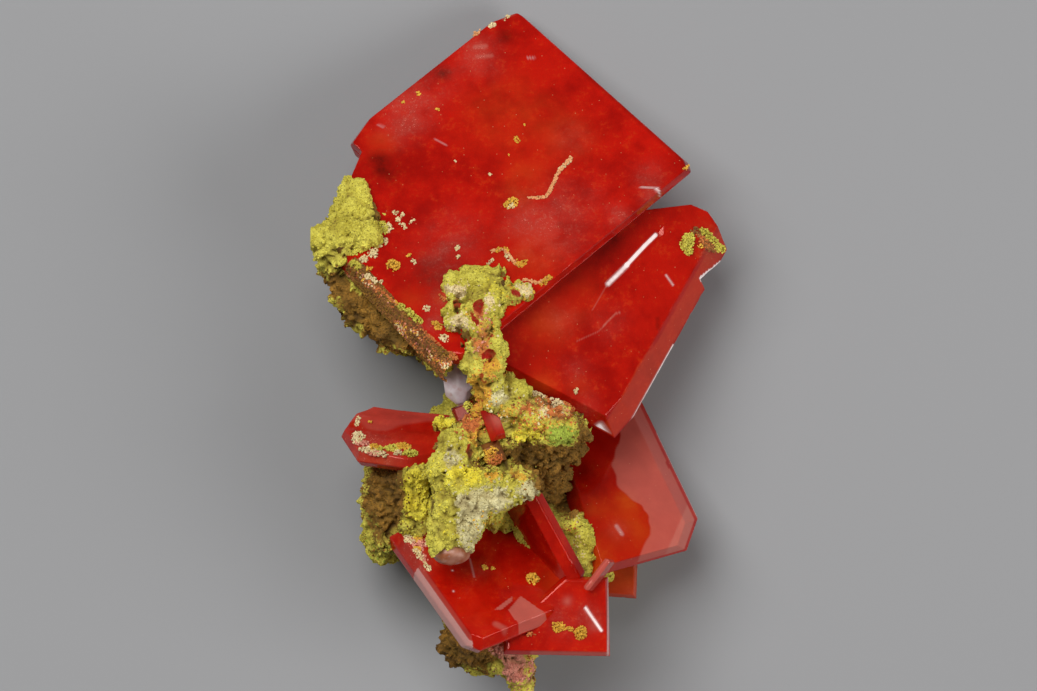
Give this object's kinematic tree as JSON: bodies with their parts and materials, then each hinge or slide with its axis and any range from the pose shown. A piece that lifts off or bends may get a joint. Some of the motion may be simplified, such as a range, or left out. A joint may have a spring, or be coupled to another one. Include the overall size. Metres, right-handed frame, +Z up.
{
  "type": "wulfenite specimen",
  "caption": "Miniature mineral specimen: thin square red wulfenite plates standing on a crumbly crusted matrix, lying on the flat break of its matrix.",
  "frame": {"origin": "on the flat break of the matrix, at the foot of the neck that joins the upper and lower crystals", "axes": "+Z up out of the flat break, towards the crystals' faces; +Y along the specimen's longest way, towards the main crystal's top corner; +X to the right"},
  "size_m": [0.0261, 0.0435, 0.0161],
  "materials": {
    "matrix": "crumbly yellow-green and olive crust",
    "main_crystal": "red crystal, part see-through, with a hazy, etched face",
    "right_crystal": "red crystal, part see-through, glossy",
    "lower_right_crystal": "red crystal, see-through, glossy",
    "small_back_crystal": "orange-red crystal, see-through, glossy",
    "bottom_crystals": "red crystals, part see-through, glossy",
    "left_crystal": "red crystal, part see-through, glossy and uneven",
    "bud_crystals": "small red crystals, part see-through",
    "quartz": "pale lilac, frosted, see-through"
  },
  "bodies": {
    "root": {"matrix": "matrix", "main_crystal": "main_crystal", "right_crystal": "right_crystal", "lower_right_crystal": "lower_right_crystal", "small_back_crystal": "small_back_crystal", "bottom_crystals": "bottom_crystals", "left_crystal": "left_crystal", "upper_bud_crystal": "bud_crystals", "lower_bud_crystal": "bud_crystals", "side_bud_crystal": "bud_crystals", "quartz_stub": "quartz"}
  },
  "joints": []
}
